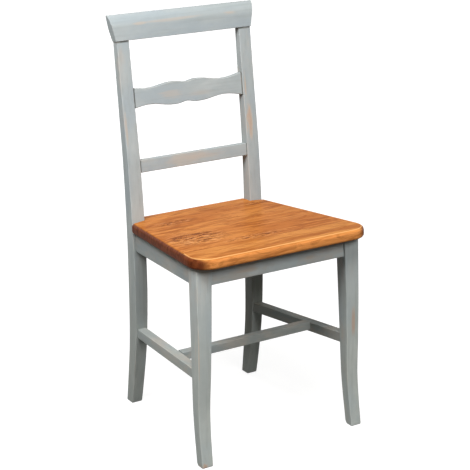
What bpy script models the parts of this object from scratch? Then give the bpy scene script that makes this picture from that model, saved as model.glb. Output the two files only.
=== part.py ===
# A wooden dining chair: painted frame with a slatted back, natural wood seat
# Metres. X runs to the right seen from the front, Y to the back, Z up; the front faces -Y.
# The chair is laid out square to its seat, then tipped back by seat_slope; the feet are sawn level.
# stand_back centres its whole depth on the origin.

import math
from collections import namedtuple

import bmesh
import bpy
from mathutils import Matrix, Vector
from mathutils.geometry import interpolate_bezier

# Side view of a leg: how high, how far its front face lies behind the leg's line, how deep the wood is
Station = namedtuple("Station", "height front depth")

seat_slope = math.radians(3.6)
stand_back = 0.0039
joint_gap = 0.0003
arris = 0.0018
sole_arris = 0.0022
sawing_allowance = 0.02

# Seat: glued boards with rounded edges, notched around the back posts
seat_top = 0.453
seat_thickness = 0.024
seat_front = -0.252
seat_depth = 0.364
seat_back_reach = 0.0335
seat_front_width = 0.4484
seat_rear_width = 0.3526
seat_front_corner = 0.044
seat_rear_corner = 0.0095
seat_roundover = 0.009
seat_back_easing = 0.003
seat_lower_edge = 0.006
front_board_width = 0.076
rear_board_count = 4

# Back posts: one piece each from the floor to the crest rail
post_foot = Station(-0.020, 0.0545, 0.0245)
post_ankle = Station(0.060, 0.0335, 0.0290)
post_shin = Station(0.170, 0.0120, 0.0313)
post_knee = Station(0.330, 0.0007, 0.0313)
post_seat = Station(0.450, 0.0, 0.0282)
post_loin = Station(0.590, 0.0052, 0.0246)
post_neck = Station(0.730, 0.0170, 0.0208)
post_top = Station(0.8527, 0.0267, 0.0178)
post_outer_x = 0.1722
post_width = 0.0323
post_foot_width = 0.0256
post_top_width = 0.0305
post_taper_height = 0.290

# Front legs: tapered, turned forward at the foot
leg_foot = Station(-0.035, 0.0024, 0.0230)
leg_ankle = Station(0.095, 0.0128, 0.0236)
leg_shin = Station(0.190, 0.0078, 0.0282)
leg_knee = Station(0.290, 0.0032, 0.0316)
leg_head = Station(0.440, 0.0, 0.0338)
leg_setback = 0.0325
leg_side_setback = 0.0187
leg_splay = 0.0031
leg_width = 0.0376
leg_foot_width = 0.0260
heel_radius = 0.012

# Aprons under the seat
apron_height = 0.044
apron_thickness = 0.020
front_apron_recess = 0.006
rear_apron_recess = 0.0004
side_apron_recess = 0.0075
side_apron_rear_recess = 0.0055

# Stretchers: one at each side and one across
side_stretcher_bottom = 0.1775
side_stretcher_height = 0.0223
side_stretcher_width = 0.0216
side_stretcher_recess = 0.0055
side_stretcher_rear_recess = 0.0048
cross_stretcher_height = 0.0188
cross_stretcher_width = 0.0222
cross_stretcher_setback = 0.1495
cross_stretcher_rise = 0.0031

# Back slats
slat_thickness = 0.0155
slat_recess = 0.0022
lower_slat_middle = 0.5746
lower_slat_height = 0.0286
shaped_slat_middle = 0.7261
shaped_slat_end_height = 0.0490
shaped_slat_dip_height = 0.0436
shaped_slat_hump_height = 0.0514
shaped_slat_hollow_height = 0.0366
shaped_slat_hump_x = 0.031
shaped_slat_hollow_x = 0.099
shaped_slat_horn_slope = 0.25
shaped_slat_shift = -0.006
dip_tightness = 0.3
hump_fullness = 0.55
shoulder_fullness = 0.42
hollow_fullness = 0.2
horn_fullness = 0.35

# Crest rail: wider at the top, stands proud of the posts, its front rolled back to a thin edge
crest_height = 0.0579
crest_proud = 0.0013
crest_foot_thickness = 0.0187
crest_back_swell = 0.0225
crest_bottom_width = 0.3475
crest_top_width = 0.3720
crest_roll_start = 0.029
crest_roll_depth = 0.0113
crest_edge_thickness = 0.0058
crest_arris = 0.0011

# Mortise and tenon joints
tenon_thickness = 0.008
tenon_shoulder = 0.005
tenon_root = 0.008
side_tenon_length = 0.012
front_tenon_length = 0.012
rear_tenon_length = 0.018
stretcher_tenon_length = 0.014
cross_tenon_length = 0.008
cross_tenon_shoulder = 0.0035
slat_tenon_length = 0.013
mortise_spare_depth = 0.001

# Dowels between posts and crest rail
dowel_radius = 0.0040
dowel_depth = 0.018

# Corner blocks and their screws
block_height = 0.030
block_near = 0.030
block_far = 0.062
rear_block_near = 0.018
rear_block_far = 0.048
screw_radius = 0.0020
screw_head_radius = 0.0040
screw_head_height = 0.0024
screw_tip = 0.005
apron_screw_length = 0.028
apron_screw_inset = 0.010
seat_screw_length = 0.044

post_line = seat_front + seat_depth
leg_line = seat_front + leg_setback
leg_outer_x = seat_front_width / 2 - leg_side_setback
leg_foot_outer_x = leg_outer_x + leg_splay
seat_back = post_line + seat_back_reach
cross_stretcher_y = leg_line + cross_stretcher_setback
seat_under = seat_top - seat_thickness
frame_top = seat_under - joint_gap
apron_bottom = frame_top - apron_height
up = Vector((0, 0, 1))
right = Vector((1, 0, 0))
backward = Vector((0, 1, 0))
down = Vector((0, math.sin(seat_slope), -math.cos(seat_slope)))
sides = {-1: "left", 1: "right"}
sharp_angle = math.radians(50)
eased_angle = math.radians(35)
side_view = Matrix(((0, 0, 1, 0), (1, 0, 0, 0), (0, 1, 0, 0), (0, 0, 0, 1)))


def set_out(line, *stations):
    # The stations with their front faces measured from the middle of the chair
    return [station._replace(front=line + station.front) for station in stations]


front_stations = set_out(leg_line, leg_foot, leg_ankle, leg_shin, leg_knee, leg_head)
post_stations = set_out(post_line, post_foot, post_ankle, post_shin, post_knee, post_seat, post_loin,
                        post_neck, post_top)


def srgb(red, green, blue):
    # Linear colour of a colour read off the photo, 0 to 255
    return [((value / 255 + 0.055) / 1.055) ** 2.4 for value in (red, green, blue)] + [1]


looks = {
    "paint": (srgb(158, 168, 168), 0.5, 0.0),
    "seat wood": (srgb(205, 130, 75), 0.38, 0.0),
    "pale seat wood": (srgb(225, 155, 100), 0.38, 0.0),
    "bare wood": (srgb(214, 186, 146), 0.7, 0.0),
    "steel": (srgb(150, 150, 148), 0.35, 1.0),
}


# Scene and objects

def clear_scene():
    for ob in list(bpy.data.objects):
        bpy.data.objects.remove(ob, do_unlink=True)


def new_collection(name):
    collection = bpy.data.collections.new(name)
    bpy.context.scene.collection.children.link(collection)
    return collection


def give_look(ob, look):
    colour, roughness, metallic = looks[look]
    material = bpy.data.materials.new(ob.name)
    material.use_nodes = True
    shader = material.node_tree.nodes["Principled BSDF"]
    shader.inputs["Base Color"].default_value = colour
    shader.inputs["Roughness"].default_value = roughness
    shader.inputs["Metallic"].default_value = metallic
    material.diffuse_color = colour
    ob.data.materials.append(material)


def add_object(name, bm, place, collection):
    bmesh.ops.recalc_face_normals(bm, faces=bm.faces)
    for face in bm.faces:
        face.smooth = True
    for edge in bm.edges:
        edge.smooth = not edge.is_manifold or edge.calc_face_angle() < sharp_angle
    mesh = bpy.data.meshes.new(name)
    bm.to_mesh(mesh)
    bm.free()
    ob = bpy.data.objects.new(name, mesh)
    collection.objects.link(ob)
    ob.parent = tilt
    ob.location = place.to_translation()
    ob.rotation_euler = place.to_euler()
    return ob


def add_piece(name, bm, place, look):
    ob = add_object(name, bm, place, chair)
    give_look(ob, look)
    return ob


def add_cutter(name, bm, place):
    ob = add_object(name, bm, place, cutters)
    ob.hide_render = True
    ob.display_type = "WIRE"
    return ob


def bench_frame(ob):
    # Where a piece lies on the bench, before the chair is tipped back
    return Matrix.Translation(ob.location) @ ob.rotation_euler.to_matrix().to_4x4()


def combine(ob, other, operation):
    modifier = ob.modifiers.new(operation.lower() + " " + other.name, "BOOLEAN")
    modifier.operation = operation
    modifier.object = other


# Shapes, each in its own frame

def box(length, width, height):
    bm = bmesh.new()
    bmesh.ops.create_cube(bm, size=1)
    bmesh.ops.scale(bm, vec=(length, width, height), verts=bm.verts)
    return bm


def cylinder(radius, length, sides=16):
    # Stands on its origin, along Z
    bm = bmesh.new()
    bmesh.ops.create_cone(bm, cap_ends=True, segments=sides, radius1=radius, radius2=radius, depth=length)
    bmesh.ops.translate(bm, vec=(0, 0, length / 2), verts=bm.verts)
    return bm


def extruded(outline, thickness):
    # A flat outline in XY, thick along Z, centred on its plane
    curve = bpy.data.curves.new("outline", "CURVE")
    curve.dimensions = "2D"
    curve.fill_mode = "BOTH"
    curve.extrude = thickness / 2
    spline = curve.splines.new("POLY")
    spline.points.add(len(outline) - 1)
    for point, (x, y) in zip(spline.points, outline):
        point.co = (x, y, 0, 1)
    spline.use_cyclic_u = True
    ob = bpy.data.objects.new("outline", curve)
    cutters.objects.link(ob)
    mesh = bpy.data.meshes.new_from_object(ob.evaluated_get(bpy.context.evaluated_depsgraph_get()))
    bm = bmesh.new()
    bm.from_mesh(mesh)
    bmesh.ops.remove_doubles(bm, verts=bm.verts, dist=0.00001)
    bmesh.ops.dissolve_limit(bm, angle_limit=math.radians(0.2), verts=bm.verts, edges=bm.edges)
    bmesh.ops.recalc_face_normals(bm, faces=bm.faces)
    bpy.data.objects.remove(ob, do_unlink=True)
    bpy.data.meshes.remove(mesh)
    return bm


def ease(bm, radius, segments=2, choose=lambda edge: True):
    # Rounds the sharp edges
    edges = [edge for edge in bm.edges if edge.calc_face_angle() > eased_angle and choose(edge)]
    bmesh.ops.bevel(bm, geom=edges, offset=radius, segments=segments, profile=0.5, affect="EDGES")


def saw(bm, point, normal):
    # Cuts off what lies beyond the plane and closes the cut
    geometry = bm.verts[:] + bm.edges[:] + bm.faces[:]
    cut = bmesh.ops.bisect_plane(bm, geom=geometry, plane_co=point, plane_no=normal, clear_outer=True)
    edges = [item for item in cut["geom_cut"] if isinstance(item, bmesh.types.BMEdge)]
    bmesh.ops.edgenet_fill(bm, edges=edges)


def saw_square(bm, place, point, normal):
    # The same for a plane given in the chair's frame
    back = place.inverted()
    saw(bm, back @ point, back.to_3x3() @ normal)


# Curved faces of legs and posts

def through(stations, name, height):
    # Smooth line through the stations' values, read at one height and straight on above the last
    heights = [station.height for station in stations]
    values = [getattr(station, name) for station in stations]
    last = len(stations) - 1
    slopes = []
    for i in range(last + 1):
        a, b = max(i - 1, 0), min(i + 1, last)
        slopes.append((values[b] - values[a]) / (heights[b] - heights[a]))
    if height > heights[last]:
        return values[last] + slopes[last] * (height - heights[last])
    i = 0
    while i < last - 1 and height > heights[i + 1]:
        i += 1
    span = heights[i + 1] - heights[i]
    t = (height - heights[i]) / span
    rise = (3 - 2 * t) * t * t
    return (values[i] * (1 - rise) + values[i + 1] * rise
            + span * t * (1 - t) * (slopes[i] * (1 - t) - slopes[i + 1] * t))


def front_face(stations, height):
    return through(stations, "front", height)


def back_face(stations, height):
    return through(stations, "front", height) + through(stations, "depth", height)


def leg_inner(height):
    # Distance of a front leg's inner face from the chair's middle
    low, high = leg_foot.height, leg_head.height
    t = (height - low) / (high - low)
    return (leg_foot_outer_x - leg_foot_width) * (1 - t) + (leg_outer_x - leg_width) * t


def leg_outer(height):
    low, high = leg_foot.height, leg_head.height
    t = (height - low) / (high - low)
    return leg_foot_outer_x * (1 - t) + leg_outer_x * t


def post_inner(height):
    # Widest from the taper's end up to the seat, narrower below and a little narrower at the top
    if height < post_taper_height:
        t = (height - post_foot.height) / (post_taper_height - post_foot.height)
        return post_outer_x - post_foot_width * (1 - t) - post_width * t
    t = max(height - post_seat.height, 0) / (post_top.height - post_seat.height)
    return post_outer_x - post_width * (1 - t) - post_top_width * t


def post_outer(_):
    # Plumb, so the same at every height
    return post_outer_x


def side_profile(stations, top, steps):
    low = stations[0].height
    heights = [low + (top - low) * i / steps for i in range(steps + 1)]
    front = [(front_face(stations, z), z) for z in heights]
    back = [(back_face(stations, z), z) for z in reversed(heights)]
    return front + back


def curved_leg(stations, head, steps, inner, outer, side, kinks=()):
    # Side view sawn out of a plank, tapered on its inner face, foot sawn level, edges eased
    bm = extruded(side_profile(stations, head + sawing_allowance, steps), 1)
    bmesh.ops.transform(bm, matrix=side_view, verts=bm.verts)
    for kink in kinks:
        geometry = bm.verts[:] + bm.edges[:] + bm.faces[:]
        bmesh.ops.bisect_plane(bm, geom=geometry, plane_co=(0, 0, kink), plane_no=up)
    for vert in bm.verts:
        vert.co.x = side * (outer(vert.co.z) if vert.co.x > 0 else inner(vert.co.z))
    bmesh.ops.recalc_face_normals(bm, faces=bm.faces)
    ease(bm, arris)
    saw(bm, Vector((0, 0, 0)), down)
    ease(bm, sole_arris, choose=lambda edge: all(abs(vert.co.dot(down)) < joint_gap for vert in edge.verts))
    return bm


def round_heel(bm, stations):
    # Takes the leg's lower back edge off in steps around the heel's radius
    floor_height = front_face(stations, 0) * math.tan(seat_slope)
    heel = Vector((0, back_face(stations, floor_height), floor_height))
    centre = heel - (backward + down) * heel_radius
    for step in (18, 36, 54):
        turn = math.radians(step)
        normal = down * math.cos(turn) + backward * math.sin(turn)
        saw(bm, centre + normal * heel_radius, normal)


# Joints

def face_plane(low, high, along, outward):
    # Plane a gap short of the leg's face that holds both points and runs along the direction
    normal = (high - low).cross(along).normalized()
    if normal.dot(outward) < 0:
        normal.negate()
    return low - normal * joint_gap, normal


def join(rail, leg, place, size, reach, length, end):
    # A tenon on the rail's end at +X or -X of its frame, and its mortise in the leg
    thickness, height = size
    tenon = box(length + tenon_root, thickness, height)
    bmesh.ops.translate(tenon, vec=(end * (reach + (length - tenon_root) / 2), 0, 0), verts=tenon.verts)
    combine(rail, add_cutter(rail.name + " tenon", tenon, place), "UNION")
    deep = length + mortise_spare_depth
    hole = box(deep + tenon_root, thickness + 2 * joint_gap, height + 2 * joint_gap)
    bmesh.ops.translate(hole, vec=(end * (reach + (deep - tenon_root) / 2), 0, 0), verts=hole.verts)
    combine(leg, add_cutter(leg.name + " mortise", hole, place), "DIFFERENCE")


def rail_frame(start, finish):
    # Frame at the middle of a level rail, X from its start to its finish
    run = finish - start
    return Matrix.Translation((start + finish) / 2) @ Matrix.Rotation(math.atan2(run.y, run.x), 4, "Z")


# Pieces

def add_post(side):
    kinks = (post_taper_height, post_seat.height)
    bm = curved_leg(post_stations, post_top.height, 32, post_inner, post_outer, side, kinks)
    saw(bm, crest_seat + crest_normal * -joint_gap, crest_normal)
    origin = Matrix.Translation((side * (post_outer_x - post_width / 2), post_line, 0))
    bmesh.ops.transform(bm, matrix=origin.inverted(), verts=bm.verts)
    return add_piece(sides[side] + "_back_post", bm, origin, "paint")


def add_front_leg(side):
    bm = curved_leg(front_stations, frame_top, 20, leg_inner, leg_outer, side)
    round_heel(bm, front_stations)
    saw(bm, Vector((0, 0, frame_top)), up)
    origin = Matrix.Translation((side * (leg_outer_x - leg_width / 2), leg_line, 0))
    bmesh.ops.transform(bm, matrix=origin.inverted(), verts=bm.verts)
    return add_piece(sides[side] + "_front_leg", bm, origin, "paint")


def add_side_rail(name, side, bottom, height, width, front_outer, rear_outer, length):
    # Runs from a front leg's back face to a post's front face, drawn in towards the back
    middle = bottom + height / 2
    leg_y = back_face(front_stations, middle)
    post_y = front_face(post_stations, middle)
    start = Vector((side * (front_outer - width / 2), leg_y, middle))
    finish = Vector((side * (rear_outer - width / 2), post_y, middle))
    place = rail_frame(start, finish)
    run = (finish - start).length
    bm = box(run + 2 * sawing_allowance, width, height)
    ease(bm, arris, choose=lambda edge: abs(edge.verts[0].co.x - edge.verts[1].co.x) > run)
    top = bottom + height
    ends = ((front_stations, back_face, -backward), (post_stations, front_face, backward))
    for stations, face, out in ends:
        low = Vector((0, face(stations, bottom), bottom))
        high = Vector((0, face(stations, top), top))
        saw_square(bm, place, *face_plane(low, high, right, out))
    rail = add_piece(name, bm, place, "paint")
    size = (tenon_thickness, height - 2 * tenon_shoulder)
    join(rail, legs[side], place, size, run / 2, length, -1)
    join(rail, posts[side], place, size, run / 2, length, 1)
    return rail


def add_cross_rail(name, bottom, height, width, y, inner, ends, length):
    # Runs straight across between the faces that inner(height) gives
    middle = bottom + height / 2
    place = Matrix.Translation((0, y, middle))
    reach = inner(middle)
    bm = box(2 * (reach + sawing_allowance), width, height)
    ease(bm, arris, choose=lambda edge: abs(edge.verts[0].co.x - edge.verts[1].co.x) > reach)
    for side in (-1, 1):
        low = Vector((side * inner(bottom), 0, bottom))
        high = Vector((side * inner(bottom + height), 0, bottom + height))
        saw_square(bm, place, *face_plane(low, high, backward, right * side))
    rail = add_piece(name, bm, place, "paint")
    for side in (-1, 1):
        join(rail, ends[side], place, (tenon_thickness, height - 2 * tenon_shoulder), reach, length, side)
    return rail


def add_cross_stretcher():
    # Between the two side stretchers, square to the chair, its ends cut to their slant
    middle = side_stretcher_bottom + side_stretcher_height / 2 + cross_stretcher_rise
    place = Matrix.Translation((0, cross_stretcher_y, middle))
    bm = box(2 * stretcher_front, cross_stretcher_width, cross_stretcher_height)
    ease(bm, arris, choose=lambda edge: abs(edge.verts[0].co.x - edge.verts[1].co.x) > stretcher_front)
    for side, rail in side_stretchers.items():
        frame = bench_frame(rail)
        inside = -side * math.copysign(1, (frame.to_3x3() @ backward).x)
        normal = frame.to_3x3() @ (backward * -inside)
        face = frame @ Vector((0, inside * side_stretcher_width / 2, 0))
        saw_square(bm, place, face - normal * joint_gap, normal)
        reach = abs(face.x - normal.y / normal.x * (cross_stretcher_y - face.y))
    rail = add_piece("cross_stretcher", bm, place, "paint")
    size = (tenon_thickness, cross_stretcher_height - 2 * cross_tenon_shoulder)
    for side in sides:
        join(rail, side_stretchers[side], place, size, reach, cross_tenon_length, side)


def slat_frame(middle, height):
    # Frame on the posts' front faces, leaning as they do
    low = front_face(post_stations, middle - height / 2)
    high = front_face(post_stations, middle + height / 2)
    lean = math.atan2(high - low, height)
    return Matrix.Translation((0, (low + high) / 2, middle)) @ Matrix.Rotation(-lean, 4, "X")


def add_slat(name, bm, middle, height, tenon_height):
    # bm lies in the slat's own plane, thick along Z
    place = slat_frame(middle, height) @ Matrix.Translation((0, slat_recess + slat_thickness / 2, 0))
    bmesh.ops.rotate(bm, matrix=Matrix.Rotation(math.pi / 2, 3, "X"), verts=bm.verts)
    reach = post_inner(middle)
    ease(bm, arris, choose=lambda edge: abs(edge.verts[0].co.y - edge.verts[1].co.y) < slat_thickness / 2)
    for side in (-1, 1):
        saw(bm, Vector((side * (reach - joint_gap), 0, 0)), right * side)
    slat = add_piece(name, bm, place, "paint")
    for side in sides:
        join(slat, posts[side], place, (tenon_thickness, tenon_height), reach, slat_tenon_length, side)


def shaped_edge():
    # Half of the shaped slat's top edge, from the dip in the middle out past the end
    reach = post_inner(shaped_slat_middle)
    outward = Vector((1, shaped_slat_horn_slope))
    dip = Vector((0, shaped_slat_dip_height / 2))
    hump = Vector((shaped_slat_hump_x, shaped_slat_hump_height / 2))
    hollow = Vector((shaped_slat_hollow_x, shaped_slat_hollow_height / 2))
    horn = Vector((reach, shaped_slat_end_height / 2))
    level = Vector((1, 0))
    notch = level * shaped_slat_hump_x * dip_tightness
    crown = level * shaped_slat_hump_x * hump_fullness
    shoulder = level * (shaped_slat_hollow_x - shaped_slat_hump_x) * shoulder_fullness
    bottoming = level * (reach - shaped_slat_hollow_x) * hollow_fullness
    climb = outward * (reach - shaped_slat_hollow_x) * horn_fullness
    points = interpolate_bezier(dip, dip + notch, hump - crown, hump, 7)[:-1]
    points += interpolate_bezier(hump, hump + shoulder, hollow - shoulder, hollow, 9)[:-1]
    points += interpolate_bezier(hollow, hollow + bottoming, horn - climb, horn, 7)
    points.append(horn + outward * sawing_allowance)
    return [(point.x, point.y) for point in points]


def add_shaped_slat():
    edge = shaped_edge()
    top = [(-x, y) for x, y in reversed(edge)] + edge[1:]
    bottom = [(-x, -y) for x, y in top]
    bm = extruded(top + bottom, slat_thickness)
    bmesh.ops.translate(bm, vec=(shaped_slat_shift, 0, 0), verts=bm.verts)
    height = shaped_slat_end_height
    add_slat("shaped_slat", bm, shaped_slat_middle, height, height - 2 * tenon_shoulder)


def add_lower_slat():
    bm = box(2 * post_outer_x, lower_slat_height, slat_thickness)
    tenon_height = lower_slat_height - 2 * tenon_shoulder
    add_slat("lower_slat", bm, lower_slat_middle, lower_slat_height, tenon_height)


def crest_section(steps=8):
    # End view of the crest rail: flat below, front rolled back on an arc to a thin top edge, back swelled
    roll_height = crest_height - crest_roll_start
    roll_radius = (roll_height ** 2 + crest_roll_depth ** 2) / (2 * crest_roll_depth)
    sweep = math.asin(roll_height / roll_radius)
    points = [(0, 0)]
    for i in range(steps + 1):
        angle = sweep * i / steps
        points.append((roll_radius * (1 - math.cos(angle)), crest_roll_start + roll_radius * math.sin(angle)))
    top_back = Vector((crest_roll_depth + crest_edge_thickness, crest_height))
    foot_back = Vector((crest_foot_thickness, 0))
    swell = Vector((crest_back_swell, crest_height / 2))
    back = interpolate_bezier(top_back, swell, swell, foot_back, steps + 1)
    return points + [(point.x, point.y) for point in back]


def add_crest_rail():
    bm = extruded(crest_section(), crest_top_width + 2 * sawing_allowance)
    bmesh.ops.transform(bm, matrix=side_view, verts=bm.verts)
    flare = math.atan2((crest_top_width - crest_bottom_width) / 2, crest_height)
    for side in (-1, 1):
        normal = Vector((side * math.cos(flare), 0, -math.sin(flare)))
        saw(bm, Vector((side * crest_bottom_width / 2, 0, 0)), normal)
    ease(bm, crest_arris)
    return add_piece("crest_rail", bm, crest_place, "paint")


def add_crest_dowel(side):
    name = sides[side] + "_crest_dowel"
    middle = Vector((side * (post_outer_x - post_top_width / 2), crest_foot_thickness / 2, -dowel_depth))
    place = crest_place @ Matrix.Translation(middle)
    add_piece(name, cylinder(dowel_radius, 2 * dowel_depth), place, "bare wood")
    bore = cylinder(dowel_radius + joint_gap, 2 * (dowel_depth + mortise_spare_depth))
    bmesh.ops.translate(bore, vec=(0, 0, -mortise_spare_depth), verts=bore.verts)
    bore = add_cutter(name + " bore", bore, place)
    combine(posts[side], bore, "DIFFERENCE")
    combine(crest_rail, bore, "DIFFERENCE")


def seat_half_width(y):
    # The sides run straight from the front edge to the posts' front faces
    t = (y - seat_front) / (notch_y - seat_front)
    return (seat_front_width * (1 - t) + seat_rear_width * t) / 2


def rounded_corner(corner, before, after, radius, steps=6):
    # Arc that replaces a corner of an outline
    into = (Vector(before) - Vector(corner)).normalized()
    out = (Vector(after) - Vector(corner)).normalized()
    half = into.angle(out) / 2
    centre = Vector(corner) + (into + out).normalized() * radius / math.sin(half)
    first = Vector(corner) + into * radius / math.tan(half) - centre
    turn = (math.pi - 2 * half) * math.copysign(1, into.cross(out))
    arc = []
    for i in range(steps + 1):
        angle = -turn * i / steps
        arc.append((centre.x + first.x * math.cos(angle) - first.y * math.sin(angle),
                    centre.y + first.x * math.sin(angle) + first.y * math.cos(angle)))
    return arc


def seat_blank():
    # The whole glued seat, its outer edge rounded over, before it is sawn into boards
    front_half = seat_half_width(seat_front)
    rear_half = seat_half_width(notch_y)
    front_corner = (front_half, seat_front)
    rear_corner = (rear_half, notch_y)
    notch_corner = (notch_x, notch_y)
    half = rounded_corner(front_corner, (0, seat_front), rear_corner, seat_front_corner)
    half += rounded_corner(rear_corner, front_corner, notch_corner, seat_rear_corner, 3)
    half += [notch_corner, (notch_x, seat_back)]
    outline = half + [(-x, y) for x, y in reversed(half)]
    bm = extruded(outline, seat_thickness)

    def at_back(edge):
        return all(vert.co.y > seat_back - joint_gap for vert in edge.verts)

    def outer(edge):
        middle = (edge.verts[0].co + edge.verts[1].co) / 2
        beside_post = abs(abs(middle.x) - notch_x) < joint_gap and middle.y > notch_y
        before_post = abs(middle.y - notch_y) < joint_gap
        return not (beside_post or before_post or at_back(edge))

    def level(edge, z):
        return all(abs(vert.co.z - z) < joint_gap for vert in edge.verts)

    top, bottom = seat_thickness / 2, -seat_thickness / 2
    ease(bm, seat_roundover, 5, lambda edge: outer(edge) and level(edge, top))
    ease(bm, seat_lower_edge, 3, lambda edge: outer(edge) and level(edge, bottom))
    ease(bm, seat_back_easing, 3, lambda edge: at_back(edge) and (level(edge, top) or level(edge, bottom)))
    return bm


def add_seat_boards():
    # The front board is narrower and paler; the others share the rest of the seat alike
    joints = [seat_front - sawing_allowance, seat_front + front_board_width]
    step = (seat_back - joints[1]) / rear_board_count
    joints += [joints[1] + step * (i + 1) for i in range(rear_board_count)]
    joints[-1] += sawing_allowance
    boards = []
    for i in range(len(joints) - 1):
        bm = seat_blank()
        saw(bm, Vector((0, joints[i] + joint_gap / 2, 0)), -backward)
        saw(bm, Vector((0, joints[i + 1] - joint_gap / 2, 0)), backward)
        middle = (max(joints[i], seat_front) + min(joints[i + 1], seat_back)) / 2
        bmesh.ops.translate(bm, vec=(0, -middle, 0), verts=bm.verts)
        place = Matrix.Translation((0, middle, seat_top - seat_thickness / 2))
        look = "pale seat wood" if i == 0 else "seat wood"
        boards.append(add_piece("seat_board_%d" % (i + 1), bm, place, look))
    return boards


# Corner blocks and screws

def screw_shape(length):
    # Half profile turned about Z: round head below the origin, shank up to a point
    profile = [(0, length), (screw_radius, length - screw_tip), (screw_radius, 0)]
    profile += [(screw_head_radius * math.cos(angle), -screw_head_height * math.sin(angle))
                for angle in (0, math.pi / 6, math.pi / 3, math.pi / 2)]
    profile[-1] = (0, -screw_head_height)
    bm = bmesh.new()
    verts = [bm.verts.new((x, 0, z)) for x, z in profile]
    for a, b in zip(verts, verts[1:]):
        bm.edges.new((a, b))
    return bm


def add_screw(name, place, length, through_pieces):
    # Sits with its head a gap off the face at the frame's origin and points along its Z
    seated = place @ Matrix.Translation((0, 0, -joint_gap))
    screw = add_object(name, screw_shape(length), seated, chair)
    turn = screw.modifiers.new("turned", "SCREW")
    turn.steps = 12
    turn.render_steps = 12
    turn.use_merge_vertices = True
    turn.merge_threshold = 0.00001
    turn.use_smooth_shade = True
    give_look(screw, "steel")
    bore = cylinder(screw_radius + joint_gap, length + mortise_spare_depth + screw_radius, 12)
    bmesh.ops.translate(bore, vec=(0, 0, -screw_radius), verts=bore.verts)
    bore = add_cutter(name + " bore", bore, place)
    for piece in through_pieces:
        combine(piece, bore, "DIFFERENCE")


def meeting(side, apron_face_y):
    # Where the inner faces of a side apron and a front or rear apron meet, seen from above
    frame = bench_frame(side_aprons[side])
    across = frame.to_3x3() @ backward
    inward = -side * math.copysign(1, across.x)
    face = frame @ Vector((0, inward * apron_thickness / 2, 0))
    along = frame.to_3x3() @ right
    return face + along * (apron_face_y - face.y) / along.y, along


def add_corner_block(name, side, end_apron, face_y, inward_y, near, far):
    # A bar across the corner between two aprons, mitred to their faces, clear of the leg
    corner, along = meeting(side, face_y)
    to_middle = Vector((-side, 0))
    to_side = along.xy * math.copysign(1, along.y * inward_y)
    off_side_apron = Vector((to_side.y, -to_side.x))
    if off_side_apron.dot(to_middle) < 0:
        off_side_apron.negate()
    corner = corner.xy + (Vector((0, inward_y)) + off_side_apron) * joint_gap
    points = [corner + to_middle * near, corner + to_middle * far,
              corner + to_side * far, corner + to_side * near]
    middle = sum(points, Vector((0, 0))) / 4
    bm = extruded([tuple(point - middle) for point in points], block_height)
    ease(bm, arris / 2)
    middle_z = frame_top - block_height / 2
    block = add_piece(name, bm, Matrix.Translation((middle.x, middle.y, middle_z)), "bare wood")

    inner_middle = (points[1] + points[2]) / 2
    outward = ((points[0] + points[3]) / 2 - inner_middle).to_3d()
    for number, (end, apron) in enumerate(((points[1], end_apron), (points[2], side_aprons[side])), 1):
        spot = end + (inner_middle - end).normalized() * apron_screw_inset
        aim = outward.to_track_quat("Z", "Y").to_matrix().to_4x4()
        place = Matrix.Translation((spot.x, spot.y, middle_z)) @ aim
        add_screw("%s_screw_%d" % (name, number), place, apron_screw_length, (block, apron))
    below = Matrix.Translation((middle.x, middle.y, frame_top - block_height))
    board = [ob for ob in seat_boards if board_front(ob) < middle.y][-1]
    add_screw(name.replace("corner_block", "seat_screw"), below, seat_screw_length, (block, board))


def board_front(board):
    return board.location.y + min(corner[1] for corner in board.bound_box)


# Build

clear_scene()
chair = new_collection("wooden_dining_chair")
cutters = new_collection("cutters")

tilt = bpy.data.objects.new("seat_slope", None)
tilt.rotation_euler.x = -seat_slope
tilt.location.y = stand_back
chair.objects.link(tilt)

post_top_front = front_face(post_stations, post_top.height)
rake = math.atan2(front_face(post_stations, post_top.height + 1) - post_top_front, 1)
crest_seat = Vector((0, post_top_front, post_top.height))
crest_place = Matrix.Translation(crest_seat) @ Matrix.Rotation(-rake, 4, "X")
crest_place = crest_place @ Matrix.Translation((0, -crest_proud, 0))
crest_normal = crest_place.to_3x3() @ up

posts = {side: add_post(side) for side in sides}
legs = {side: add_front_leg(side) for side in sides}

apron_middle = apron_bottom + apron_height / 2
front_apron_face = front_face(front_stations, apron_middle) + front_apron_recess
rear_apron_face = back_face(post_stations, apron_middle) - rear_apron_recess
side_apron_front = leg_outer(apron_middle) - side_apron_recess
side_apron_rear = post_outer_x - side_apron_rear_recess

side_aprons = {side: add_side_rail(word + "_apron", side, apron_bottom, apron_height, apron_thickness,
                                   side_apron_front, side_apron_rear, side_tenon_length)
               for side, word in sides.items()}
front_apron = add_cross_rail("front_apron", apron_bottom, apron_height, apron_thickness,
                             front_apron_face + apron_thickness / 2, leg_inner, legs, front_tenon_length)
rear_apron = add_cross_rail("rear_apron", apron_bottom, apron_height, apron_thickness,
                            rear_apron_face - apron_thickness / 2, post_inner, posts, rear_tenon_length)

stretcher_front = leg_outer(side_stretcher_bottom) - side_stretcher_recess
stretcher_rear = post_outer_x - side_stretcher_rear_recess
side_stretchers = {side: add_side_rail(word + "_side_stretcher", side, side_stretcher_bottom,
                                       side_stretcher_height, side_stretcher_width,
                                       stretcher_front, stretcher_rear, stretcher_tenon_length)
                   for side, word in sides.items()}
add_cross_stretcher()

add_lower_slat()
add_shaped_slat()
crest_rail = add_crest_rail()
for side in sides:
    add_crest_dowel(side)

notch_y = min(front_face(post_stations, seat_under), front_face(post_stations, seat_top)) - joint_gap
notch_x = post_inner(seat_top) - joint_gap
seat_boards = add_seat_boards()

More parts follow.
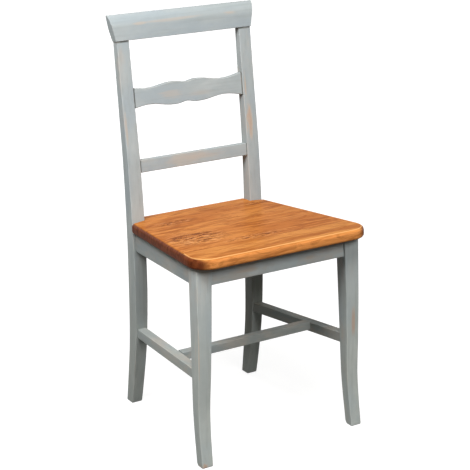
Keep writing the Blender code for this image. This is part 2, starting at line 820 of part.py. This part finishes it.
for side, word in sides.items():
    add_corner_block("front_%s_corner_block" % word, side, front_apron, front_apron_face + apron_thickness, 1,
                     block_near, block_far)
    add_corner_block("rear_%s_corner_block" % word, side, rear_apron, rear_apron_face - apron_thickness, -1,
                     rear_block_near, rear_block_far)

for ob in chair.objects:
    if ob.type == "MESH":
        shading = ob.modifiers.new("even shading", "WEIGHTED_NORMAL")
        shading.keep_sharp = True
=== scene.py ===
# Wooden dining chair: rubbed grey-blue paint on the frame, varnished orange-brown seat
import math
import bpy
import bmesh
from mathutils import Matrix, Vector


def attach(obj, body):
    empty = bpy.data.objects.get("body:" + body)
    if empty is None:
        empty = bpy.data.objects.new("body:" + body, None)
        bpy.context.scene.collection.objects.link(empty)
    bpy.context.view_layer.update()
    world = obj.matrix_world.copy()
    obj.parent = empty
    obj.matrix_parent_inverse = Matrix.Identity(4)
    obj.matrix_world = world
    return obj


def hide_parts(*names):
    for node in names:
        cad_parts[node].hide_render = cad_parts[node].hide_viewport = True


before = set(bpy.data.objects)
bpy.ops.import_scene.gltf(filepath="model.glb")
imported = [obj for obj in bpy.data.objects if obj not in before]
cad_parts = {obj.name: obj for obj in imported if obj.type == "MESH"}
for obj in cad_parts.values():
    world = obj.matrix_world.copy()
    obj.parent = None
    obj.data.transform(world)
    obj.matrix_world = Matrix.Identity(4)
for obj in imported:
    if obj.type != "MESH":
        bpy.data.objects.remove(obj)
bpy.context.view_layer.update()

scene = bpy.context.scene
print("frame loaded:", len(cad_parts), "nodes")


# helpers for the materials

white = (1, 1, 1, 1)
wholeNoise = (0, 1)
noiseReach = (0.3, 0.7)     # nearly all of a noise lies between these
noiseMiddle = 0.5


def srgb(red, green, blue):
    # 0 to 255 as read on a screen, to the linear values that sockets take
    return tuple(((v / 255 + 0.055) / 1.055) ** 2.4 for v in (red, green, blue)) + (1,)


def put(tree, kind, sockets=None, **settings):
    # One node with its settings and its inputs; a socket as a value becomes a link
    node = tree.nodes.new(kind)
    for key, value in settings.items():
        setattr(node, key, value)
    for key, value in (sockets or {}).items():
        if isinstance(value, bpy.types.NodeSocket):
            tree.links.new(value, node.inputs[key])
        else:
            node.inputs[key].default_value = value
    return node


def newMaterial(name):
    material = bpy.data.materials.new(name)
    material.use_nodes = True
    tree = material.node_tree
    place = put(tree, "ShaderNodeTexCoord").outputs["Object"]
    return material, tree, tree.nodes["Principled BSDF"], place


def maths(tree, what, a, b=0.0):
    return put(tree, "ShaderNodeMath", {0: a, 1: b}, operation=what).outputs[0]


def times(tree, a, b):
    return maths(tree, "MULTIPLY", a, b)


def axes(tree, vector):
    # x, y and z of a vector, a socket each
    return put(tree, "ShaderNodeSeparateXYZ", {0: vector}).outputs


def ramp(tree, value, start, full, most=1.0):
    # 0 before the start, the most from where it is full, soft between
    return put(tree, "ShaderNodeMapRange",
               {"Value": value, "From Min": start, "From Max": full, "To Max": most},
               interpolation_type="SMOOTHSTEP").outputs[0]


def spread(tree, value, span, low, high):
    # The start of the span becomes low and its end high, evenly between
    start, end = span
    return put(tree, "ShaderNodeMapRange", {"Value": value, "From Min": start, "From Max": end,
                                            "To Min": low, "To Max": high}).outputs[0]


def mix(tree, factor, a, b, blend="MIX"):
    node = put(tree, "ShaderNodeMix", {0: factor, 6: a, 7: b}, data_type="RGBA", blend_type=blend)
    return node.outputs[2]


def mixValues(tree, factor, a, b):
    return put(tree, "ShaderNodeMix", {0: factor, 2: a, 3: b}).outputs[0]


def noise(tree, place, stretch, detail, rough, twist=0.0, shift=(0, 0, 0)):
    # Noise on object coordinates, with its own scale along x, y and z
    mapped = put(tree, "ShaderNodeMapping", {"Vector": place, "Scale": stretch, "Location": shift})
    return put(tree, "ShaderNodeTexNoise", {"Vector": mapped.outputs[0], "Scale": 1.0, "Detail": detail,
                                            "Roughness": rough, "Distortion": twist}).outputs[0]


def grain(tree, place, axis, along, across, detail, rough, twist=0.0):
    # Noise drawn out along one axis
    stretch = tuple(along if letter == axis else across for letter in "xyz")
    return noise(tree, place, stretch, detail, rough, twist)


def giveRelief(tree, shader, bump, *layers):
    # Patterns added up to one height, each by its share, for a bump
    strength, distance = bump
    height = 0.0
    for pattern, share in layers:
        height = maths(tree, "ADD", height, times(tree, pattern, share))
    node = put(tree, "ShaderNodeBump", {"Strength": strength, "Distance": distance, "Height": height})
    tree.links.new(node.outputs[0], shader.inputs["Normal"])


# A spot's rim, in half lengths from the spot's middle: where it starts and where it is full
rimSpan = (1.25, 0.35)


def rubMark(tree, place, mark, wobble):
    # An oval spot, its rim broken up by the wobble
    shifted = put(tree, "ShaderNodeVectorMath", {0: place, 1: mark["at"]}, operation="SUBTRACT").outputs[0]
    shrunk = put(tree, "ShaderNodeVectorMath", {0: shifted, 1: tuple(1 / s for s in mark["size"])},
                 operation="MULTIPLY").outputs[0]
    far = put(tree, "ShaderNodeVectorMath", {0: shrunk}, operation="LENGTH").outputs["Value"]
    return ramp(tree, maths(tree, "ADD", far, wobble), *rimSpan, mark["deep"])


# paint: brushed lengthwise, rubbed thin in a few places by hands and heels

paintLook = {
    "base": srgb(171, 178, 179),
    "cool": srgb(164, 173, 177),
    "pale": srgb(181, 187, 187),
    "streak": srgb(155, 162, 162),
    "warmerLow": srgb(255, 252, 245),    # warmer tint towards the floor
    "thin": srgb(188, 177, 165),        # paint rubbed thin, the wood just showing through
    "bare": srgb(194, 150, 120),
    "bareDark": srgb(152, 108, 82),
    "jointShade": srgb(82, 84, 80),          # painted shade in the corner of a joint
    "roughness": (0.44, 0.62),          # the least and the most
    "bareRoughness": 0.62,
    "sheen": 0.05,
    # Noise: scale along the piece and across it, detail, roughness, twist
    "strokes": (6, 170, 4, 0.55),
    "hairs": (14, 620, 3, 0.6),
    "clouds": (7, 22, 3, 0.5, 0.4),
    "mottle": (45, 45, 4, 0.6),
    "specks": (420, 420, 2, 0.5),
    "patches": (13, 30, 3, 0.6),
    # Where in its noise each starts, where it is full, and how strong it is then
    "coolSpan": (0.55, 0.34),
    "paleSpan": (0.56, 0.74),
    "streakSpan": (0.48, 0.74, 0.55),
    "thinSpan": (0.44, 0.66, 0.52),
    "bareDarkSpan": (0.42, 0.70),
    "throughSpan": (0.74, 0.84),        # wood showing through on an arris
    "throughDepth": 0.7,
    "patchyShade": (0.97, 1.03),
    "warmerLowSpan": (0.62, 0.05),       # by the height in metres
    # By how sharp the arris is, and by how worn the paint is
    "arrisSpan": (0.35, 0.85),
    "wornThinSpan": (0.0, 0.5),
    "wornBareSpan": (0.35, 1.0),
    # How far the grain breaks up the rim of a rubbed spot, and the hairs' share in that
    "fray": 3.2,
    "frayHairs": 0.4,
    # Relief: strength and metres, then the share of each pattern
    "bump": (0.3, 0.0004),
    "strokeRelief": 0.6,
    "speckRelief": 0.25,
    "wornRelief": -0.5,
}


def paintedWood(name, axis, paintedLightAndTone, rubbed, marks, joint, look=paintLook):
    material, tree, shader, place = newMaterial(name)
    strokes = grain(tree, place, axis, *look["strokes"])
    hairs = grain(tree, place, axis, *look["hairs"])
    clouds = grain(tree, place, axis, *look["clouds"])
    mottle = grain(tree, place, axis, *look["mottle"])
    specks = grain(tree, place, axis, *look["specks"])
    patches = grain(tree, place, axis, *look["patches"])
    where = axes(tree, place)

    # Brushed coat: broad soft changes, then strokes along the piece
    tone = mix(tree, ramp(tree, clouds, *look["coolSpan"]), look["base"], look["cool"])
    tone = mix(tree, ramp(tree, clouds, *look["paleSpan"]), tone, look["pale"])
    tone = mix(tree, ramp(tree, strokes, *look["streakSpan"]), tone, look["streak"])
    # Painted light and shade: the mottle is scaled by the piece's light level, so the whole piece comes
    # out lighter or darker
    dimmest, brightest = look["patchyShade"]
    patchy = spread(tree, mottle, noiseReach, dimmest * paintedLightAndTone, brightest * paintedLightAndTone)
    tone = mix(tree, 1.0, tone, patchy, "MULTIPLY")
    warmerLow = mix(tree, 1.0, tone, look["warmerLow"], "MULTIPLY")
    tone = mix(tree, ramp(tree, where[2], *look["warmerLowSpan"]), tone, warmerLow)

    # Painted shade along the line where the piece meets its neighbour
    if joint:
        reach = maths(tree, "ABSOLUTE", where[joint["axis"]])
        tone = mix(tree, ramp(tree, reach, *joint["span"]), tone, look["jointShade"])

    # Arrises a little rubbed, to the wood only in short stretches
    arris = put(tree, "ShaderNodeAttribute", attribute_name="arris").outputs["Fac"]
    thin = times(tree, arris, ramp(tree, patches, *look["thinSpan"]))
    tone = mix(tree, thin, tone, look["thin"])
    start, full = look["throughSpan"]
    through = ramp(tree, patches, start - rubbed, full - rubbed, look["throughDepth"])
    worn = times(tree, ramp(tree, arris, *look["arrisSpan"]), through)

    # Spots rubbed by hands and heels, streaked along the grain
    frayed = mixValues(tree, look["frayHairs"], strokes, hairs)
    wobble = times(tree, maths(tree, "SUBTRACT", frayed, noiseMiddle), look["fray"])
    for mark in marks:
        worn = maths(tree, "MAXIMUM", worn, rubMark(tree, place, mark, wobble))

    bare = mix(tree, ramp(tree, hairs, *look["bareDarkSpan"]), look["bare"], look["bareDark"])
    thinned = mix(tree, ramp(tree, worn, *look["wornThinSpan"]), tone, look["thin"])
    colour = mix(tree, ramp(tree, worn, *look["wornBareSpan"]), thinned, bare)
    tree.links.new(colour, shader.inputs["Base Color"])

    gloss = spread(tree, mottle, wholeNoise, *look["roughness"])
    gloss = mixValues(tree, worn, gloss, look["bareRoughness"])
    tree.links.new(gloss, shader.inputs["Roughness"])
    shader.inputs["Specular IOR Level"].default_value = look["sheen"]
    giveRelief(tree, shader, look["bump"], (strokes, look["strokeRelief"]),
               (specks, look["speckRelief"]), (worn, look["wornRelief"]))
    return material


# seat wood: streaky grain from side to side under satin varnish, darker on its ends

seatLook = {
    # A board's two main colours, and how strong the dark streaks and lines are on it
    "rearBoards": {"light": srgb(204, 131, 64), "middle": srgb(184, 109, 47),
                   "streaks": 0.48, "lines": 0.42},
    "frontBoard": {"light": srgb(207, 137, 68), "middle": srgb(180, 108, 46),
                   "streaks": 0.35, "lines": 0.30},
    "dark": srgb(130, 62, 24),
    "fleck": srgb(92, 40, 16),
    # pale colour of the painted highlights on torn grain
    "tornGrainAndHighlight": srgb(236, 178, 122),
    "end": srgb(112, 56, 32),
    "endDark": srgb(78, 34, 20),
    # painted light: the front board's forward face, lighter and flatter than the top
    "front": srgb(230, 150, 82),
    "paintedHighlight": srgb(238, 180, 118),    # painted highlight along the front edge's top arris
    "roughness": (0.26, 0.44),
    "sheen": 0.01,
    "grainStep": 1.7,                   # how far the grain is shifted from board to board
    # Noise: scales along x, y and z, detail, roughness, twist
    "bands": ((4, 26, 20), 4, 0.6, 0.8),
    "streaks": ((15, 66, 60), 5, 0.66, 1.0),
    "lines": ((11, 150, 120), 3, 0.6, 0.6),
    "fibres": ((26, 620, 400), 3, 0.65),
    "flecks": ((22, 84, 80), 4, 0.72, 1.8),
    "rings": ((60, 110, 60), 3, 0.6, 0.5),
    # Where in its noise each starts, where it is full, and how strong it is then
    "middleSpan": (0.38, 0.60),
    "streakSpan": (0.48, 0.62),
    "lineSpan": (0.54, 0.66),
    "fleckSpan": (0.51, 0.58),
    "tornGrainAndHighlightSpan": (0.47, 0.41, 0.5),
    "endDarkSpan": (0.35, 0.65),
    "fibreShade": (0.84, 1.12),
    # The same by the way a face looks: along y, where the front is -1, along z, and along x
    "litFrontSpan": (-0.45, -0.85, 0.85),
    "paintedHighlightSpan": (0.80, 0.88, 0.75),
    "belowTopSpan": (0.98, 0.94),
    "endSpan": (0.24, 0.72, 0.95),
    # The same by the metres from the front board's joint, for the painted shade along the joint
    "seamShadeSpan": (0.007, 0.001, 0.45),
    # Relief: strength and metres, then the share of each pattern
    "bump": (0.25, 0.0003),
    "streakRelief": 0.5,
    "fleckRelief": -0.6,
    # Where the plane tore the grain and the stain sits in it: middle, half lengths, how deep
    "tears": (
        {"at": (-0.125, -0.058, 0.458), "size": (0.080, 0.055, 0.05), "deep": 1.0},
        {"at": (-0.100, 0.084, 0.450), "size": (0.060, 0.020, 0.05), "deep": 0.75},
        {"at": (0.145, 0.118, 0.450), "size": (0.050, 0.016, 0.05), "deep": 0.75},
        {"at": (-0.020, -0.122, 0.460), "size": (0.080, 0.018, 0.05), "deep": 0.9}),
}


def seatWood(name, step, isFront, seam, look=seatLook):
    board = look["frontBoard"] if isFront else look["rearBoards"]
    material, tree, shader, place = newMaterial(name)
    bands = noise(tree, place, *look["bands"], shift=(step, 3 * step, 0))
    streaks = noise(tree, place, *look["streaks"], shift=(step, 0, 0))
    lines = noise(tree, place, *look["lines"], shift=(2 * step, 1, 0))
    fibres = noise(tree, place, *look["fibres"])
    flecks = noise(tree, place, *look["flecks"], shift=(step, 0, 0))
    rings = noise(tree, place, *look["rings"], shift=(step, 0, 0))
    facing = axes(tree, put(tree, "ShaderNodeNewGeometry").outputs["Normal"])

    colour = mix(tree, ramp(tree, bands, *look["middleSpan"]), board["light"], board["middle"])
    # Painted light on the front board's forward face, lighter than the rest
    if isFront:
        colour = mix(tree, ramp(tree, facing[1], *look["litFrontSpan"]), colour, look["front"])
    colour = mix(tree, ramp(tree, streaks, *look["streakSpan"], board["streaks"]), colour, look["dark"])
    colour = mix(tree, ramp(tree, lines, *look["lineSpan"], board["lines"]), colour, look["dark"])

    # Torn grain: dark flecks, with painted highlights beside them where the torn grain's relief would
    # catch the light, in spots only
    tornGrainAndHighlight = 0.0
    for tear in look["tears"]:
        tornGrainAndHighlight = maths(tree, "MAXIMUM", tornGrainAndHighlight, rubMark(tree, place, tear, 0.0))
    dots = times(tree, ramp(tree, flecks, *look["fleckSpan"]), tornGrainAndHighlight)
    colour = mix(tree, dots, colour, look["fleck"])
    tearHighlights = times(tree, ramp(tree, flecks, *look["tornGrainAndHighlightSpan"]), tornGrainAndHighlight)
    colour = mix(tree, tearHighlights, colour, look["tornGrainAndHighlight"])

    paintedLightAndTone = spread(tree, fibres, noiseReach, *look["fibreShade"])
    colour = mix(tree, 1.0, colour, paintedLightAndTone, "MULTIPLY")
    # Painted shade along the joint with the front board
    if seam:
        away = maths(tree, "ABSOLUTE", maths(tree, "SUBTRACT", axes(tree, place)[1], seam))
        colour = mix(tree, ramp(tree, away, *look["seamShadeSpan"]), colour, look["dark"])
    # Painted highlight: a pale line along the top of the front edge's roundover
    if isFront:
        belowTop = ramp(tree, facing[2], *look["belowTopSpan"])
        paintedHighlight = times(tree, ramp(tree, facing[2], *look["paintedHighlightSpan"]), belowTop)
        colour = mix(tree, paintedHighlight, colour, look["paintedHighlight"])

    # The boards' ends are end grain and drink the stain
    end = mix(tree, ramp(tree, rings, *look["endDarkSpan"]), look["end"], look["endDark"])
    sideways = maths(tree, "ABSOLUTE", facing[0])
    colour = mix(tree, ramp(tree, sideways, *look["endSpan"]), colour, end)
    tree.links.new(colour, shader.inputs["Base Color"])

    tree.links.new(spread(tree, streaks, wholeNoise, *look["roughness"]), shader.inputs["Roughness"])
    shader.inputs["Specular IOR Level"].default_value = look["sheen"]
    giveRelief(tree, shader, look["bump"], (streaks, look["streakRelief"]), (dots, look["fleckRelief"]))
    return material


# bare planed wood for blocks and dowels, zinc-plated steel for screws

bareLook = {
    "light": srgb(222, 196, 156),
    "dark": srgb(186, 150, 106),
    "roughness": (0.64, 0.79),
    # Noises, spans and relief are given as in paintLook
    "figure": (9, 190, 4, 0.6, 0.5),
    "pores": (40, 700, 2, 0.6),
    "figureSpan": (0.40, 0.68),
    "poreSpan": (0.6, 0.75, 0.35),
    "bump": (0.3, 0.0003),
}


def bareWood(name, axis, look=bareLook):
    material, tree, shader, place = newMaterial(name)
    figure = grain(tree, place, axis, *look["figure"])
    pores = grain(tree, place, axis, *look["pores"])
    colour = mix(tree, ramp(tree, figure, *look["figureSpan"]), look["light"], look["dark"])
    colour = mix(tree, ramp(tree, pores, *look["poreSpan"]), colour, look["dark"])
    tree.links.new(colour, shader.inputs["Base Color"])
    tree.links.new(spread(tree, figure, wholeNoise, *look["roughness"]), shader.inputs["Roughness"])
    giveRelief(tree, shader, look["bump"], (pores, 1.0))
    return material


steelLook = {
    "bright": srgb(186, 186, 180),
    "dull": srgb(138, 138, 134),
    "roughness": (0.24, 0.44),
    # Noise and span are given as in seatLook
    "bloom": ((260, 260, 260), 3, 0.6),
    "dullSpan": (0.4, 0.65),
}


def screwSteel(name, look=steelLook):
    material, tree, shader, place = newMaterial(name)
    bloom = noise(tree, place, *look["bloom"])
    colour = mix(tree, ramp(tree, bloom, *look["dullSpan"]), look["bright"], look["dull"])
    tree.links.new(colour, shader.inputs["Base Color"])
    tree.links.new(spread(tree, bloom, wholeNoise, *look["roughness"]), shader.inputs["Roughness"])
    shader.inputs["Metallic"].default_value = 1.0
    return material


# finished copies of the solids: clean faces, smooth curves, and arrises marked for wear

meshFinish = {
    "mergeWithin": 0.00002,     # metres between points that are one
    "flatWithin": 0.3,          # degrees between faces that become one
    "smoothUnder": 50,          # degrees up to which an edge is shaded smooth
    "wearSpan": (26, 38),       # degrees of bend at which an arris starts to wear, and wears fully
}


def selectOnly(piece):
    bpy.ops.object.select_all(action="DESELECT")
    piece.select_set(True)
    bpy.context.view_layer.objects.active = piece


def markArrises(piece):
    # 1 on the crest of each rounded edge, 0 on the flats, for the paint to wear by
    start, full = meshFinish["wearSpan"]
    mesh = bmesh.new()
    mesh.from_mesh(piece.data)
    values = []
    for vert in mesh.verts:
        bends = [edge.calc_face_angle(0) for edge in vert.link_edges if len(edge.link_faces) == 2]
        sharpest = math.degrees(max(bends, default=0))
        values.append(min(max((sharpest - start) / (full - start), 0), 1))
    mesh.free()
    wear = piece.data.attributes.new("arris", "FLOAT", "POINT")
    wear.data.foreach_set("value", values)


def finishedCopy(nodeName, material):
    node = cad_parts[nodeName]
    piece = node.copy()
    piece.data = node.data.copy()
    piece.name = nodeName + "_finished"
    piece.parent = None
    for key in list(piece.keys()):      # what the frame wrote on the node
        del piece[key]
    scene.collection.objects.link(piece)
    piece.data.materials.clear()
    piece.data.materials.append(material)

    selectOnly(piece)
    bpy.ops.object.mode_set(mode="EDIT")
    bpy.ops.mesh.select_all(action="SELECT")
    bpy.ops.mesh.remove_doubles(threshold=meshFinish["mergeWithin"])
    bpy.ops.mesh.dissolve_limited(angle_limit=math.radians(meshFinish["flatWithin"]))
    bpy.ops.object.mode_set(mode="OBJECT")
    markArrises(piece)
    bpy.ops.object.shade_smooth_by_angle(angle=math.radians(meshFinish["smoothUnder"]))
    weighted = piece.modifiers.new("evenShading", "WEIGHTED_NORMAL")
    weighted.keep_sharp = True
    bpy.ops.object.modifier_apply(modifier=weighted.name)

    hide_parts(nodeName)
    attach(piece, "root")


# painted frame

# Spots where the paint is rubbed: middle, half lengths along x, y and z, how deep
rubs = {
    "crest_rail": (
        {"at": (-0.112, 0.200, 0.876), "size": (0.020, 0.02, 0.0045), "deep": 0.34},
        {"at": (-0.030, 0.200, 0.877), "size": (0.075, 0.02, 0.0045), "deep": 0.27},
        {"at": (0.120, 0.200, 0.878), "size": (0.022, 0.02, 0.0040), "deep": 0.34}),
    "shaped_slat": (
        {"at": (-0.045, 0.180, 0.714), "size": (0.030, 0.02, 0.010), "deep": 0.24},
        {"at": (0.030, 0.179, 0.709), "size": (0.045, 0.02, 0.006), "deep": 0.20}),
    "lower_slat": (
        {"at": (0.014, 0.158, 0.568), "size": (0.075, 0.02, 0.007), "deep": 0.26},),
    "left_back_post": (
        {"at": (-0.168, 0.170, 0.655), "size": (0.004, 0.02, 0.050), "deep": 0.34},),
    "right_back_post": (
        {"at": (0.1525, 0.165, 0.628), "size": (0.009, 0.02, 0.048), "deep": 0.60},
        {"at": (0.1475, 0.177, 0.712), "size": (0.003, 0.02, 0.028), "deep": 0.50}),
    "front_apron": (
        {"at": (-0.076, -0.183, 0.414), "size": (0.026, 0.02, 0.006), "deep": 0.36},
        {"at": (0.079, -0.183, 0.412), "size": (0.020, 0.02, 0.005), "deep": 0.30}),
    "right_front_leg": (
        {"at": (0.193, -0.195, 0.242), "size": (0.006, 0.02, 0.036), "deep": 0.58},),
    "left_front_leg": (
        {"at": (-0.202, -0.211, 0.004), "size": (0.008, 0.02, 0.008), "deep": 0.64},
        {"at": (-0.205, -0.195, 0.250), "size": (0.002, 0.02, 0.070), "deep": 0.36},
        {"at": (-0.190, -0.213, 0.110), "size": (0.009, 0.02, 0.060), "deep": 0.16}),
}

# Painted shade in a joint, by the metres from the chair's middle along x or from the floor along z:
# the axis, then where the shade starts, where it is full, and how strong it is then
slatEnd = {"axis": 0, "span": (0.1372, 0.1395, 0.8)}
postTop = {"axis": 2, "span": (0.8375, 0.8405, 0.8)}
jointLines = {
    "shaped_slat": slatEnd,
    "lower_slat": slatEnd,
    "left_back_post": postTop,
    "right_back_post": postTop,
}

# The way a piece runs, a painted light level that makes its whole coat lighter (front legs, front apron)
# or darker as painted shade (side aprons, cross stretcher under the seat), and how much sooner its arrises
# show the wood
sidePieces = {
    "back_post": {"axis": "z"},
    "front_leg": {"axis": "z", "paintedLightAndTone": 1.14, "rubbed": 0.045},
    "apron": {"axis": "y", "paintedLightAndTone": 0.89},
    "side_stretcher": {"axis": "y", "rubbed": 0.045},
}
middlePieces = {
    "crest_rail": {"axis": "x"},
    "shaped_slat": {"axis": "x"},
    "lower_slat": {"axis": "x"},
    "front_apron": {"axis": "x", "paintedLightAndTone": 1.18},
    "rear_apron": {"axis": "x"},
    "cross_stretcher": {"axis": "x", "paintedLightAndTone": 0.84},
}


def paintPiece(nodeName, axis, paintedLightAndTone=1.0, rubbed=0.0):
    marks = rubs.get(nodeName, ())
    joint = jointLines.get(nodeName)
    paint = paintedWood(nodeName + "Paint", axis, paintedLightAndTone, rubbed, marks, joint)
    finishedCopy(nodeName, paint)


for side in ("left", "right"):
    for name, coat in sidePieces.items():
        paintPiece(side + "_" + name, **coat)
for name, coat in middlePieces.items():
    paintPiece(name, **coat)
print("painted frame done")


# seat, from the front board to the rear one

boards = sorted(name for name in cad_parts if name.startswith("seat_board"))
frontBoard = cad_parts[boards[0]]
frontJoint = max((frontBoard.matrix_world @ vert.co).y for vert in frontBoard.data.vertices)
for number, name in enumerate(boards):
    isFront = number == 0
    seam = frontJoint if number == 1 else None      # the painted shade of the joint lies on the second board
    wood = seatWood(name + "Wood", number * seatLook["grainStep"], isFront, seam)
    finishedCopy(name, wood)
print("seat boards done")


# blocks, dowels and screws keep their solids and get their materials

hiddenFinishes = {
    "screw": screwSteel("screwSteel"),
    "dowel": bareWood("dowelWood", "z"),
    "block": bareWood("blockWood", "x"),
}
for name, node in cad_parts.items():
    words = [word for word in hiddenFinishes if word in name]
    if words:
        node.material_slots[0].material = hiddenFinishes[words[0]]      # a block's screw is a screw
print("blocks, dowels and screws done")


# floor, lights and camera

studio = {
    "floorWidth": 40,
    "floorColour": (0.30, 0.30, 0.30, 1),
    "floorShade": (0.03, 0.03, 0.03, 1),    # what the chair gets back from the floor
    "floorRoughness": 0.9,
    "glow": (0.84, 1.0),                    # the floor's, by the chair and further off
    "glowSpan": (0.7, 2.2),                 # metres from the chair's middle
    "ambient": (0.060, 0.055, 0.036, 1),
    "aimedAt": (0, 0, 0.5),
    "lamps": {
        # place, width, watts
        "frontLamp": ((0, -4.5, 3.65), 1.8, 141),
        "leftLamp": ((-1.395, -0.508, 1.985), 0.8, 35),
        "topLamp": ((-1.58, -2.25, 5.26), 1.5, 120),
        # for the back and the right side, which the photo doesn't show
        "backLamp": ((0, 5.4, 1.0), 1.8, 84),
        "rightLamp": ((5.3, 0.95, 1.0), 1.8, 84),
    },
}
photoCamera = {
    "place": (-1.7104, -2.7076, 1.4836),
    "turn": -32.49,
    "down": 18.29,
    "lens": 117.1,
    "filmWidth": 36,
    "shift": (-0.00566, 0.00072),
    "reach": 50,
}


def rayIsSeen(tree):
    # 1 for rays that show the surroundings themselves, in a gloss or through glass
    path = put(tree, "ShaderNodeLightPath")
    seen = maths(tree, "MAXIMUM", path.outputs["Is Camera Ray"], path.outputs["Is Glossy Ray"])
    return maths(tree, "MAXIMUM", seen, path.outputs["Is Transmission Ray"])


def layFloor():
    bpy.ops.object.select_all(action="DESELECT")
    bpy.ops.mesh.primitive_plane_add(size=studio["floorWidth"], location=(0, 0, 0))
    floor = bpy.context.object
    floor.name = "floor"
    material, tree, shader, place = newMaterial("floorPaper")
    seen = rayIsSeen(tree)
    colour = mix(tree, seen, studio["floorShade"], studio["floorColour"])
    tree.links.new(colour, shader.inputs["Base Color"])
    shader.inputs["Roughness"].default_value = studio["floorRoughness"]

    far = put(tree, "ShaderNodeVectorMath", {0: place}, operation="LENGTH").outputs["Value"]
    glow = spread(tree, far, studio["glowSpan"], *studio["glow"])
    shader.inputs["Emission Color"].default_value = white
    tree.links.new(times(tree, seen, glow), shader.inputs["Emission Strength"])
    floor.data.materials.append(material)


def lightWorld():
    world = bpy.data.worlds.new("studioWorld")
    scene.world = world
    world.use_nodes = True
    tree = world.node_tree
    colour = mix(tree, rayIsSeen(tree), studio["ambient"], white)
    tree.links.new(colour, tree.nodes["Background"].inputs["Color"])


def hangLamps():
    for name, (place, width, watts) in studio["lamps"].items():
        light = bpy.data.lights.new(name, "AREA")
        light.shape = "SQUARE"
        light.size = width
        light.energy = watts
        lamp = bpy.data.objects.new(name, light)
        lamp.location = place
        back = Vector(place) - Vector(studio["aimedAt"])
        lamp.rotation_euler = back.to_track_quat("Z", "Y").to_euler()
        scene.collection.objects.link(lamp)


def setCamera():
    data = bpy.data.cameras.new("photoCamera")
    data.lens = photoCamera["lens"]
    data.sensor_width = photoCamera["filmWidth"]
    data.shift_x, data.shift_y = photoCamera["shift"]
    data.clip_end = photoCamera["reach"]
    camera = bpy.data.objects.new("photoCamera", data)
    camera.location = photoCamera["place"]
    tilt = math.radians(90 - photoCamera["down"])
    camera.rotation_euler = (tilt, 0, math.radians(photoCamera["turn"]))
    scene.collection.objects.link(camera)
    scene.camera = camera


layFloor()
lightWorld()
hangLamps()
setCamera()
scene.view_settings.view_transform = "Standard"
print("floor, lights and camera done")
